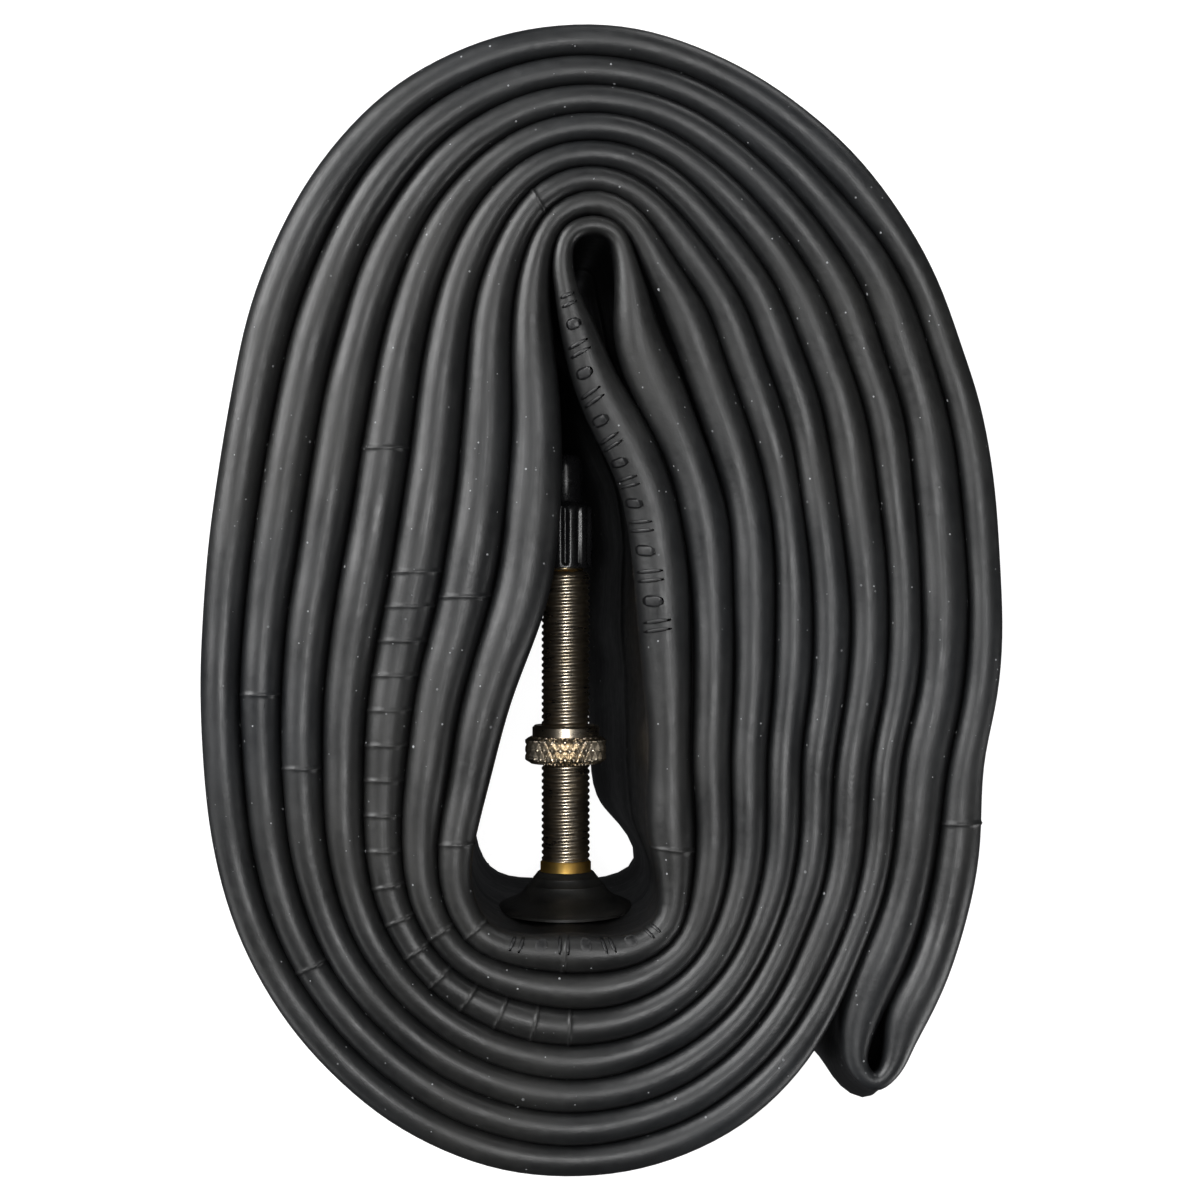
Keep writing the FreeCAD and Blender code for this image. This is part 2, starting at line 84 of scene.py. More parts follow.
OTHER_CUTS = [
    (TOP_X, TOP_Y, 22.5, graded_faces(6.2, 3.80, 0.032), 1, 0, 0),
    (TOP_X, TOP_Y, 45.0, graded_faces(6.7, 3.30, 0.034), 1, 0, 0),
    (TOP_X, TOP_Y, 67.5, graded_faces(8.3, 2.90, 0.040), 1, 0, 0),
    (TOP_X, TOP_Y, 90.0, graded_faces(9.6, 2.57, 0.068), 1, 0, 0),
    (TOP_X, TOP_Y, 112.5, graded_faces(9.1, 2.66, 0.082), 1, 0, 0),
    (TOP_X, TOP_Y, 135.0, graded_faces(7.2, 3.06, 0.095), 1, 0, 0),
    (TOP_X, TOP_Y, 157.5, graded_faces(5.8, 3.44, 0.109), 1, 0, 0),
    (TOP_X, TOP_Y, 180.0, graded_faces(5.3, 3.95, 0.121), 1, 0, 0),
    (SIDE_X, 22.5, 180.0, graded_faces(3.3, 5.44, -0.018), 1, 1.5, 0),
    (SIDE_X, 11.25, 180.0, graded_faces(3.2, 6.20, -0.088), 1, 1.5, 0),
    (SIDE_X, 0.0, 180.0, graded_faces(4.7, 6.53, -0.143), 1, 1.5, 0),
    (SIDE_X, -11.25, 180.0, graded_faces(8.7, 5.72, -0.102), 1, 0.3, 0),
    (SIDE_X, -20.0, 180.0, graded_faces(11.1, 4.92, -0.046), 1, 0, 0),
    (BOTTOM_X, BOTTOM_Y, 180.0, graded_faces(11.7, 4.12, 0.016), 1, 0, 0),
    (BOTTOM_X, BOTTOM_Y, 202.5, graded_faces(13.1, 3.50, 0.034), 1, 0, 0),
    (BOTTOM_X, BOTTOM_Y, 225.0, graded_faces(13.7, 3.19, 0.044), 1, 0, 0),
    (BOTTOM_X, BOTTOM_Y, 247.5, graded_faces(11.7, 3.90, -0.018), 1, 0, 0),
    (BOTTOM_X, BOTTOM_Y, 270.0, graded_faces(10.8, 4.27, -0.059), 1, -0.5, 0),
    (BOTTOM_X, BOTTOM_Y, 292.5, graded_faces(11.7, 3.66, -0.003), 1, 0, 0),
    (BOTTOM_X, BOTTOM_Y, 315.0, graded_faces(12.2, 3.15, 0.031), 1, 0, 0.6),
]

# The folds, in the order that the strip runs: x, y, thickness, heading of the strip's right side, how far the
# web stands aside, and how much further than the coil the strip leans.
INNER_FOLD = [
    (2.8, 18.6, 5.8, 25, 1.0, -2.8), (-0.2, 24.3, 5.1, 24, 1.2, -1.8), (-2.3, 30.0, 4.1, 18, 0.8, -0.8),
    (-4.0, 35.8, 2.5, 9, 0, 0), (-4.2, 38.8, 2.1, -4, 0, 0), (-3.4, 41.0, 2.0, -42, 0, 0),
    (-0.9, 42.1, 2.0, -90, 0, -1.0), (1.8, 41.1, 2.0, -136, 0, -2.0), (2.8, 38.8, 2.2, -168, 0, -2.3),
    (3.4, 35.8, 3.2, -172, 0, -2.3), (4.3, 30.0, 5.3, -165, 0, -1.6), (6.4, 24.3, 5.8, -159, 0, -0.8),
    (8.9, 18.6, 5.0, -158, 0, 0),
]
OUTER_FOLD = [
    (29.3, -47.0, 4.6, 165, 0.3, 0), (28.7, -50.2, 3.2, 177, 0.8, 0), (29.1, -52.6, 2.2, 210, 1.8, 0),
    (30.8, -54.0, 2.0, 270, 2.6, 0), (32.5, -52.7, 2.2, 325, 1.2, 0), (33.5, -50.2, 3.2, 342, 0.3, 0),
    (34.5, -47.0, 4.6, 338, 0, 0),
]


def strip_row(middle, right, thickness, aside, lean):
    """One point of the strip: the two sides of its beads, the two sides of its web, and its lean."""
    half = (thickness + LAYER_PRESS) / 2
    web = min(WEB_HALF, half)
    stand = middle + aside
    return np.concatenate([middle - right * half, middle + right * half,
                           stand - right * web, stand + right * web, [COIL_LEAN + lean]])


def heading_vector(degrees):
    """A step of 1 on the table, in a direction."""
    return np.array([math.cos(math.radians(degrees)), math.sin(math.radians(degrees))])


def turn_rows(layer, sense):
    """One turn of the coil, anticlockwise from the right side's bottom, with sense 1 or -1 the way it runs.
    Past the right side's top, two layers end in the fold, so a strand is two layers further in."""
    rows = []
    for cuts, own_layer in ((RIGHT_CUTS, layer), (OTHER_CUTS, layer - 2)):
        for x, y, heading, faces, first, aside, lean in cuts:
            if own_layer < first:
                continue
            out = heading_vector(heading)
            inner, outer = faces[own_layer - first], faces[own_layer - first + 1]
            innermost = own_layer == 1
            rows.append(strip_row(np.array([x, y]) + out * (inner + outer) / 2, out * sense, outer - inner,
                                  out * (aside if innermost else 0), lean if innermost else 0))
    return rows


def fold_rows(fold):
    """The points of a fold."""
    rows = []
    for x, y, thickness, heading, aside, lean in fold:
        right = heading_vector(heading)
        rows.append(strip_row(np.array([x, y]), right, thickness, right * aside, lean))
    return rows


inward = []
for layer in (9, 7, 5, 3, 1):
    inward += turn_rows(layer, 1)
outward = []
for layer in (8, 6, 4, 2):
    outward += turn_rows(layer, -1)
strip_rows = np.array(inward + fold_rows(INNER_FOLD) + outward[::-1] + fold_rows(OUTER_FOLD))
strip_middles = (strip_rows[:, 0:2] + strip_rows[:, 2:4]) / 2
row_steps = np.linalg.norm(np.roll(strip_middles, -1, axis=0) - strip_middles, axis=1)
row_places = np.concatenate([[0.0], np.cumsum(row_steps)])
STRIP_LENGTH = row_places[-1]


def smooth_slopes(values, steps):
    """Slopes of a closed smooth line through the rows, the steps between them being uneven."""
    count = len(values)
    bend = np.zeros((count, count))
    pull = np.zeros_like(values)
    for n in range(count):
        before, after = steps[n - 1], steps[n]
        bend[n, n - 1] = after
        bend[n, n] = 2 * (before + after)
        bend[n, (n + 1) % count] = before
        pull[n] = 3 * ((values[n] - values[n - 1]) / before * after
                       + (values[(n + 1) % count] - values[n]) / after * before)
    return np.linalg.solve(bend, pull)


row_slopes = smooth_slopes(strip_rows, row_steps)


def strip_at(places):
    """The strip's rows at any distances along it."""
    places = np.mod(places, STRIP_LENGTH)
    index = np.clip(np.searchsorted(row_places, places, side="right") - 1, 0, len(strip_rows) - 1)
    after = (index + 1) % len(strip_rows)
    step = row_steps[index][:, None]
    t = (places - row_places[index])[:, None] / step
    return (strip_rows[index] * (2 * t**3 - 3 * t**2 + 1) + row_slopes[index] * step * (t**3 - 2 * t**2 + t)
            + strip_rows[after] * (3 * t**2 - 2 * t**3) + row_slopes[after] * step * (t**3 - t**2))


# The section is a run of points round the strip from its upper edge. Each has a place across the strip, a
# height made of a fixed part and a share of the bead's radius, and its share of the web.
BEAD_RADIUS = 2.6
BEAD_SQUARENESS = 0.94
NECK_DEPTH = 9.0
WEB_LEVELS = [37.0, 29.0, 26.7, 26.0, 25.3, 23.0, 15.0]
SEAM_LEVEL = 26.0
SEAM_LIFT = 0.16


def bead_arc(turn):
    """Across and up on the round of a bead of radius 1, which its neighbours press a little square."""
    across, up = math.sin(turn), math.cos(turn)
    if up < 1e-9:
        up = 0.0
    return math.copysign(abs(across) ** BEAD_SQUARENESS, across), up ** BEAD_SQUARENESS


def half_section(cap_steps, upper_neck_steps, lower_neck_steps, lower_cap_steps):
    """Points down the strip's right side: across, fixed height, share of the bead's radius, share of web."""
    points = []
    for n in range(cap_steps + 1):
        across, up = bead_arc(math.pi / 2 * n / cap_steps)
        points.append((across, STRIP_HEIGHT, up - 1, 0.0))
    for n in range(1, upper_neck_steps + 1):
        t = n / upper_neck_steps
        points.append((1.0, STRIP_HEIGHT - NECK_DEPTH * t, t - 1, t * t * (3 - 2 * t)))
    points += [(1.0, level, 0.0, 1.0) for level in WEB_LEVELS]
    for n in range(lower_neck_steps, 0, -1):
        t = n / lower_neck_steps
        points.append((1.0, NECK_DEPTH * t, 1 - t, t * t * (3 - 2 * t)))
    for n in range(lower_cap_steps, -1, -1):
        across, up = bead_arc(math.pi / 2 * n / lower_cap_steps)
        points.append((across, 0.0, 1 - up, 0.0))
    return points


right_half = half_section(8, 5, 4, 4)
left_half = [(-across, level, share, web) for across, level, share, web in right_half[-2:0:-1]]
section = np.array(right_half + left_half)

# Fine raised lines across the strip, left by the joints of its mould: their distances along the strip. Most
# are in one even run down the left side and round the bottom of the third layer.
MOULD_LINES = [779.5 + 3.96 * n for n in range(17)]
MOULD_LINES += [18.5, 539.8, 1029.2, 1039.2, 1049.8, 1070.8, 1261.0, 1299.5, 1345.2, 1556.0, 1781.8, 1813.2]
LINE_LIFT = 0.15
LINE_WIDTH = 0.16

# The rubber settles a little unevenly in height, and its web buckles between the beads.
SETTLE_DEPTH = 0.35
BUCKLE_DEPTH = 0.45
BUCKLE_HEIGHT = 7.0
waves = random.Random(5)
SETTLE_WAVES = [(turns, waves.uniform(0, 2 * math.pi)) for turns in (19, 37, 61, 97, 149)]
BUCKLE_WAVES = [(turns, waves.uniform(0, 2 * math.pi)) for turns in (53, 89, 163, 271)]


def waviness(places, wave_list):
    """A gentle uneven wave along the strip, from -1 to 1, that closes on itself."""
    total = sum(np.sin(2 * math.pi * turns * places / STRIP_LENGTH + start) for turns, start in wave_list)
    return total / len(wave_list)


def settled(height, places):
    """Heights on the strip, after its upper edge has sunk by up to twice the settle depth."""
    return height * (1 - SETTLE_DEPTH * (1 + waviness(places, SETTLE_WAVES)) / STRIP_HEIGHT)


def line_heights(places):
    """How proud the mould lines stand at distances along the strip."""
    heights = np.zeros_like(places)
    for line in MOULD_LINES:
        heights += LINE_LIFT * np.exp(-((places - line) / LINE_WIDTH) ** 2)
    return heights


def strip_surface(places, around):
    """Points of the strip's surface, as an array of distances by points of the section."""
    rows = strip_at(places)[:, None, :]
    across, level, share, web = (around[:, n] for n in range(4))
    bead_half = (rows[..., 2:4] - rows[..., 0:2]) / 2
    web_half = (rows[..., 6:8] - rows[..., 4:6]) / 2
    bead_middle = (rows[..., 0:2] + rows[..., 2:4]) / 2
    web_middle = (rows[..., 4:6] + rows[..., 6:8]) / 2
    thickness = np.linalg.norm(bead_half, axis=2)
    radius = np.minimum(thickness, BEAD_RADIUS)
    height = level + share * radius
    half = bead_half * (1 - web[:, None]) + web_half * web[:, None]
    side = bead_half / thickness[..., None]
    ground = bead_middle * (1 - web[:, None]) + web_middle * web[:, None] + half * across[:, None]
    lines = line_heights(places)[:, None] * (1 - web)
    on_bead = (web == 0) & (np.abs(share) < 1)
    seam = SEAM_LIFT * (level == SEAM_LEVEL)
    proud = np.where(on_bead, lines * across, 0.0) + seam * across
    buckle = web**2 * (0.6 + 0.4 * np.sin(level / BUCKLE_HEIGHT))
    buckle = BUCKLE_DEPTH * waviness(places, BUCKLE_WAVES)[:, None] * buckle
    ground = ground + side * (proud + buckle)[..., None]
    height = settled(height, places[:, None])
    height = height + np.where(on_bead, lines * np.sign(share) * (np.abs(share) - 1), 0)
    lean = rows[..., 8] * (1 - height / STRIP_HEIGHT)
    return np.stack([ground[..., 0] + lean - COIL_MIDDLE.x, ground[..., 1], height], axis=2) * MM


# Points along the strip: even steps, closer ones round the tight folds, and rows that carry the mould lines.
STRIP_STEP = 1.65
FOLD_STEP = 0.5
LINE_ROWS = (-0.55, -0.32, -0.15, 0.0, 0.15, 0.32, 0.55)
LINE_CLEARANCE = 0.8
LEAST_STEP = 0.12
inner_fold_start = len(inward)
outer_fold_start = len(strip_rows) - len(OUTER_FOLD)
places = list(np.arange(0, STRIP_LENGTH - STRIP_STEP / 2, STRIP_STEP))
for fold_start, first, last in ((inner_fold_start, 3, 9), (outer_fold_start, 1, 5)):
    places += list(np.arange(row_places[fold_start + first], row_places[fold_start + last], FOLD_STEP))
for line in MOULD_LINES:
    places = [place for place in places if abs(place - line) > LINE_CLEARANCE]
    places += [line + step for step in LINE_ROWS]
spaced = [0.0]
for place in sorted(places):
    if place - spaced[-1] > LEAST_STEP:
        spaced.append(place)
places = np.array(spaced + [STRIP_LENGTH])


def finish_piece(bm, name, material, smooth_degrees, body, replaced):
    """Turns a finished bmesh into a named piece that rides on its body in the place of its CAD node."""
    mesh = bpy.data.meshes.new(name)
    bm.to_mesh(mesh)
    bm.free()
    mesh.shade_smooth()
    if smooth_degrees < 180:
        mesh.set_sharp_from_angle(angle=math.radians(smooth_degrees))
    mesh.materials.append(material)
    piece = bpy.data.objects.new(name, mesh)
    bpy.context.scene.collection.objects.link(piece)
    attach(piece, body)
    if replaced:
        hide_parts(replaced)
    return piece


def new_finish(name):
    """A material with the means to add its nodes and join them."""
    material = bpy.data.materials.new(name)
    material.use_nodes = True
    tree = material.node_tree
    shader = tree.nodes["Principled BSDF"]

    def add(kind, **values):
        node = tree.nodes.new(kind)
        for key, value in values.items():
            if hasattr(node, key):
                setattr(node, key, value)
            else:
                node.inputs[key.replace("_", " ")].default_value = value
        return node

    def join(source, target):
        tree.links.new(source, target)

    return material, shader, add, join


def grain(add, join, coordinates, scale, detail, roughness=0.55):
    """Cloudy noise of one size."""
    noise = add("ShaderNodeTexNoise", Scale=scale, Detail=detail, Roughness=roughness)
    join(coordinates, noise.inputs["Vector"])
    return noise.outputs["Fac"]


def ramp(add, join, source, low, high, bottom, top):
    """Stretches a value between low and high to run from bottom to top."""
    node = add("ShaderNodeMapRange", clamp=True)
    join(source, node.inputs["Value"])
    for key, value in (("From Min", low), ("From Max", high), ("To Min", bottom), ("To Max", top)):
        node.inputs[key].default_value = value
    return node.outputs["Result"]


def tint(add, join, share, first, second):
    """A colour between two, by a share."""
    node = add("ShaderNodeMix", data_type="RGBA")
    node.inputs["A"].default_value = (*first, 1.0)
    node.inputs["B"].default_value = (*second, 1.0)
    join(share, node.inputs["Factor"])
    return node.outputs["Result"]


def combine(add, join, operation, first, second):
    """Sums, multiplies or compares two values, each a number or a node's output."""
    node = add("ShaderNodeMath", operation=operation)
    for socket, value in zip(node.inputs, (first, second)):
        if isinstance(value, (int, float)):
            socket.default_value = value
        else:
            join(value, socket)
    return node.outputs["Value"]


def speck_share(add, join, coordinates, scale, kept, smallest, largest):
    """The strength of scattered round specks: one to a cell of noise, in the kept share of the cells."""
    cells = add("ShaderNodeTexVoronoi", Scale=scale, Randomness=1.0)
    join(coordinates, cells.inputs["Vector"])
    chance = add("ShaderNodeSeparateColor")
    join(cells.outputs["Color"], chance.inputs["Color"])
    chosen = combine(add, join, "LESS_THAN", chance.outputs["Red"], kept)
    size = ramp(add, join, chance.outputs["Green"], 0.0, 1.0, smallest, largest)
    inside = combine(add, join, "LESS_THAN", cells.outputs["Distance"], size)
    strength = ramp(add, join, chance.outputs["Blue"], 0.0, 1.0, 0.25, 1.0)
    return combine(add, join, "MULTIPLY", combine(add, join, "MULTIPLY", chosen, inside), strength)


def butyl_finish():
    """Satin black butyl: painted highlight and cloudy grey bloom on the bead tops, painted shade on their
    sides and in the creases, flow streaks and specks of talc.
    """
    material, shader, add, join = new_finish("satin_butyl")
    place = add("ShaderNodeTexCoord").outputs["Object"]
    along = add("ShaderNodeUVMap", uv_map="strip")
    # Share of painted highlight: 1 on top of each upper bead, falling to 0 down its sides and nil elsewhere.
    crest_painted_light = add("ShaderNodeAttribute", attribute_name="crest_painted_light").outputs["Fac"]
    cloud = grain(add, join, place, 75.0, 3.0)
    fine = grain(add, join, place, 900.0, 3.0)
    streak_map = add("ShaderNodeMapping")
    join(along.outputs["UV"], streak_map.inputs["Vector"])
    streak_map.inputs["Scale"].default_value = (0.12, 2.2, 1.0)
    streak = grain(add, join, streak_map.outputs["Vector"], 1.0, 2.0)
    # Painted highlight: the crest share, times cloudy bloom, lightens the base colour on top of the beads.
    # The flow streaks add real bloom all along the strip.
    bloom_and_painted_highlight = combine(add, join, "MULTIPLY", ramp(add, join, cloud, 0.35, 0.7, 0.45, 1.0), crest_painted_light)
    bloom_and_painted_highlight = combine(add, join, "ADD", bloom_and_painted_highlight, ramp(add, join, streak, 0.45, 0.75, 0.0, 0.30))
    bloom_and_painted_highlight = combine(add, join, "MULTIPLY", bloom_and_painted_highlight, ramp(add, join, fine, 0.3, 0.7, 0.75, 1.1))
    cool = ramp(add, join, grain(add, join, place, 22.0, 2.0), 0.40, 0.62, 0.0, 1.0)
    painted_highlight_colour = tint(add, join, cool, (0.0140, 0.0140, 0.0130), (0.0118, 0.0134, 0.0152))
    # Where the crest share is nil, the colour stays the dark body colour, which is painted shade down the
    # bead sides and in the creases.
    body = add("ShaderNodeMix", data_type="RGBA")
    join(bloom_and_painted_highlight, body.inputs["Factor"])
    body.inputs["A"].default_value = (0.0028, 0.0030, 0.0036, 1.0)
    join(painted_highlight_colour, body.inputs["B"])
    dusty = ramp(add, join, cloud, 0.42, 0.66, 0.15, 0.95)
    talc = combine(add, join, "MAXIMUM", speck_share(add, join, place, 430.0, dusty, 0.03, 0.075),
                   speck_share(add, join, place, 950.0, combine(add, join, "MULTIPLY", dusty, 0.6),
                               0.06, 0.12))
    dusted = add("ShaderNodeMix", data_type="RGBA")
    join(talc, dusted.inputs["Factor"])
    join(body.outputs["Result"], dusted.inputs["A"])
    dusted.inputs["B"].default_value = (0.32, 0.33, 0.34, 1.0)
    join(dusted.outputs["Result"], shader.inputs["Base Color"])
    dull = combine(add, join, "ADD", ramp(add, join, cloud, 0.3, 0.7, 0.40, 0.52),
                   ramp(add, join, streak, 0.4, 0.7, 0.0, -0.07))
    dull = combine(add, join, "ADD", dull, ramp(add, join, fine, 0.3, 0.7, -0.04, 0.04))
    dull = combine(add, join, "ADD", dull, combine(add, join, "MULTIPLY", talc, 0.4))
    join(dull, shader.inputs["Roughness"])
    skin = grain(add, join, place, 2400.0, 4.0)
    soft = grain(add, join, place, 230.0, 2.0)
    relief = combine(add, join, "ADD", combine(add, join, "MULTIPLY", skin, 0.25), soft)
    relief = combine(add, join, "ADD", relief, combine(add, join, "MULTIPLY", talc, 0.6))
    bump = add("ShaderNodeBump", Strength=0.38, Distance=0.00025)
    join(relief, bump.inputs["Height"])
    join(bump.outputs["Normal"], shader.inputs["Normal"])
    shader.inputs["IOR"].default_value = 1.52
    return material


butyl = butyl_finish()

# The strip is a flat grid, rolled round the section and joined where its edges and its ends meet.
columns, loops = len(places) - 1, len(section)
surface = strip_surface(places, section)
surface[-1] = surface[0]
surface = np.concatenate([surface, surface[:, :1]], axis=1)
# Crest share of each point of the section, for the painted highlight: 1 at the top of the upper bead, 0 at
# its sides and everywhere else.
on_upper_bead = (section[:, 3] == 0) & (section[:, 1] == STRIP_HEIGHT)
crest_painted_light_of = np.append(np.where(on_upper_bead, 1 + section[:, 2], 0.0), 1.0)
bm = bmesh.new()
bmesh.ops.create_grid(bm, x_segments=columns, y_segments=loops, size=1.0)
crest_painted_light = bm.verts.layers.float.new("crest_painted_light")
uv = bm.loops.layers.uv.new("strip")
grid_places = {}
for vert in bm.verts:
    along = round((vert.co.x + 1) / 2 * columns)
    around = round((vert.co.y + 1) / 2 * loops)
    grid_places[vert.index] = (along, around)
    vert.co = surface[along, around]
    vert[crest_painted_light] = crest_painted_light_of[around]
for face in bm.faces:
    for corner in face.loops:
        along, around = grid_places[corner.vert.index]
        corner[uv].uv = (places[along], around)
bmesh.ops.remove_doubles(bm, verts=bm.verts, dist=1e-7)
bmesh.ops.recalc_face_normals(bm, faces=bm.faces)
finish_piece(bm, "inner_tube_coil", butyl, 180, "tube", "inner_tube")


# ---- the moulded marks ----
# Plain raised bars and oval pads on the upper edge of the innermost strand, vulcanised in one with the
# rubber. They stand in two short runs, one beside the valve and one under its foot.
# A run is its start and end along the strip, and how far round the bead it stands, in degrees at even steps.
MARK_RUNS = [(1096.0, 1134.5, (-26, -36, -47, -42, -24, -6)), (1044.0, 1060.5, (-30, -38, -40))]
MARK_SPACING = 2.75
MARK_DEPTH = 0.14
MARK_ROOT = 1.2
MARK_FALL = 0.42
PAD_SIZE = (1.5, 2.5, 0.0)
BAR_SIZE = (0.5, 3.3, 0.4)
BAR_GAP = 0.5


def bead_point(place, turn, lift):
    """A point over the strip's upper bead, turn radians from its top and lift mm proud of it."""
    row = strip_at(np.array([place]))[0]
    half = (row[2:4] - row[0:2]) / 2
    thickness = np.linalg.norm(half)
    radius = min(thickness, BEAD_RADIUS)
    across, up = bead_arc(turn)
    ground = (row[0:2] + row[2:4]) / 2 + half * across * (1 + lift / thickness)
    height = settled(STRIP_HEIGHT + (up - 1) * radius, place) + lift * up
    lean = row[8] * (1 - height / STRIP_HEIGHT)
    return Vector((ground[0] + lean - COIL_MIDDLE.x, ground[1], height)) * MM


def raised_marks(bm, marks):
    """Rounded pads on the bead, each given by its place, turn, size along and across, and skew. They are cut
    from a row of cubes, ten units apart, that are then laid on the bead."""
    for n in range(len(marks)):
        bmesh.ops.create_cube(bm, size=2.0, matrix=Matrix.Translation((10.0 * n, 0, 0)))
    bmesh.ops.subdivide_edges(bm, edges=bm.edges, cuts=3, use_grid_fill=True)
    for vert in bm.verts:
        n = round(vert.co.x / 10)
        place, turn, along, across, skew = marks[n]
        u, v, w = vert.co - Vector((10.0 * n, 0, 0))
        reach = math.sqrt(1 - MARK_FALL * (u * u + v * v))
        spread = reach**0.5 / 2
        lift = MARK_DEPTH * (reach if w > 0 else -MARK_ROOT)
        vert.co = bead_point(place + (u * along + v * skew) * spread,
                             turn + v * across * spread / BEAD_RADIUS, lift)


marks = []
for start, end, turns in MARK_RUNS:
    for n in range(int((end - start) / MARK_SPACING) + 1):
        place = start + n * MARK_SPACING
        turn = math.radians(np.interp(place, np.linspace(start, end, len(turns)), turns))
        if n % 2:
            marks.append((place, turn, *PAD_SIZE))
        else:
            marks += [(place - BAR_GAP, turn, *BAR_SIZE), (place + BAR_GAP, turn, *BAR_SIZE)]
bm = bmesh.new()
raised_marks(bm, marks)
bmesh.ops.recalc_face_normals(bm, faces=bm.faces)
finish_piece(bm, "moulded_marks", butyl, 180, "tube", None)


# ---- the valve's rubber patch ----
# An oval patch with a domed boss, moulded round the stem's foot and vulcanised to the inner side of the tube.
# It is a duller, denser rubber than the tube, with two fine steps where the mould's rings met.
VALVE_X = -3.2
VALVE_Z = 26.0
PAD_LENGTH_RADIUS = 8.5
PAD_HEIGHT_RADIUS = 11.5
BOSS_RADIUS = 5.7
PATCH_STEPS = 96
VALVE_AXIS = Vector((0, 1, 0))
VALVE_PLACE = Vector((VALVE_X, 0, VALVE_Z)) * MM


def turned(bm, outline, steps, closed=True):
    """A piece turned about the valve's axis from a list of (radius, distance along the valve)."""
    verts = [bm.verts.new((VALVE_PLACE.x + radius * MM, along * MM, VALVE_PLACE.z))
             for radius, along in outline]
    pairs = list(zip(verts, verts[1:])) + ([(verts[-1], verts[0])] if closed else [])
    edges = [bm.edges.new(pair) for pair in pairs]
    bmesh.ops.spin(bm, geom=verts + edges, cent=VALVE_PLACE, axis=VALVE_AXIS, angle=2 * math.pi, steps=steps,
                   use_merge=True)
    bmesh.ops.remove_doubles(bm, verts=bm.verts, dist=1e-7)
    bmesh.ops.recalc_face_normals(bm, faces=bm.faces)


def from_axis(vert):
    """A point's distance from the valve's axis in mm, its angle about it, and its distance along it."""
    x, z = vert.co.x - VALVE_PLACE.x, vert.co.z - VALVE_PLACE.z
    return math.hypot(x, z) / MM, math.atan2(z, x), vert.co.y / MM


def place_round(vert, radius, angle, along):
    """Moves a point to a distance from the valve's axis, an angle about it and a distance along it."""
    vert.co = VALVE_PLACE + Vector((radius * math.cos(angle), along, radius * math.sin(angle))) * MM


def patch_finish():
    """Dull black moulded rubber with fine cloudy grain."""
    material, shader, add, join = new_finish("patch_rubber")
    place = add("ShaderNodeTexCoord").outputs["Object"]
    cloud = grain(add, join, place, 260.0, 3.0)
    fine = grain(add, join, place, 2600.0, 4.0)
    share = ramp(add, join, cloud, 0.3, 0.7, 0.0, 1.0)
    join(tint(add, join, share, (0.013, 0.013, 0.013), (0.030, 0.029, 0.026)), shader.inputs["Base Color"])
    join(ramp(add, join, cloud, 0.3, 0.7, 0.42, 0.58), shader.inputs["Roughness"])
    bump = add("ShaderNodeBump", Strength=0.4, Distance=0.0001)
    join(fine, bump.inputs["Height"])
    join(bump.outputs["Normal"], shader.inputs["Normal"])
    return material


# The patch's outline as (radius, distance along the valve), over the boss and round the stem's foot.
bm = bmesh.new()
turned(bm, [
    (3.16, -33.66), (3.32, -33.62), (3.50, -33.74), (3.68, -33.98), (3.95, -34.34), (4.02, -34.36),
    (4.06, -34.54), (4.40, -34.98), (4.72, -35.28), (4.80, -35.30), (4.84, -35.48), (5.18, -35.95),
    (5.60, -36.35), (6.20, -36.75), (6.90, -37.10), (7.60, -37.42), (8.20, -37.75), (8.45, -38.00),
    (8.50, -38.30), (1.75, -38.30), (1.75, -37.65), (4.34, -37.65), (4.34, -36.66), (3.16, -35.88),
], PATCH_STEPS)
for vert in bm.verts:
    radius, angle, along = from_axis(vert)
    if radius > BOSS_RADIUS:
        share = (radius - BOSS_RADIUS) / (PAD_LENGTH_RADIUS - BOSS_RADIUS)
        stretch = 1 + (PAD_HEIGHT_RADIUS / PAD_LENGTH_RADIUS - 1) * share * share * (3 - 2 * share)
        vert.co.z = VALVE_PLACE.z + (vert.co.z - VALVE_PLACE.z) * stretch
finish_piece(bm, "valve_patch", patch_finish(), 40, "tube", "valve_pad")


# ---- the valve stem ----
# A slim brass stem with a rolled 6 mm thread of 0.8 mm pitch, plated with dark nickel. Its lowest part is a
# plain collar of bare brass, and its flanged foot is held inside the patch. The bore runs right through.
STEM_RADIUS = 3.0
STEM_PITCH = 0.8
STEM_THREAD_DEPTH = 0.21
STEM_THREAD_START = -32.1
STEM_THREAD_TURNS = 44
COLLAR_TOP = -32.25
THREAD_STEPS = 48


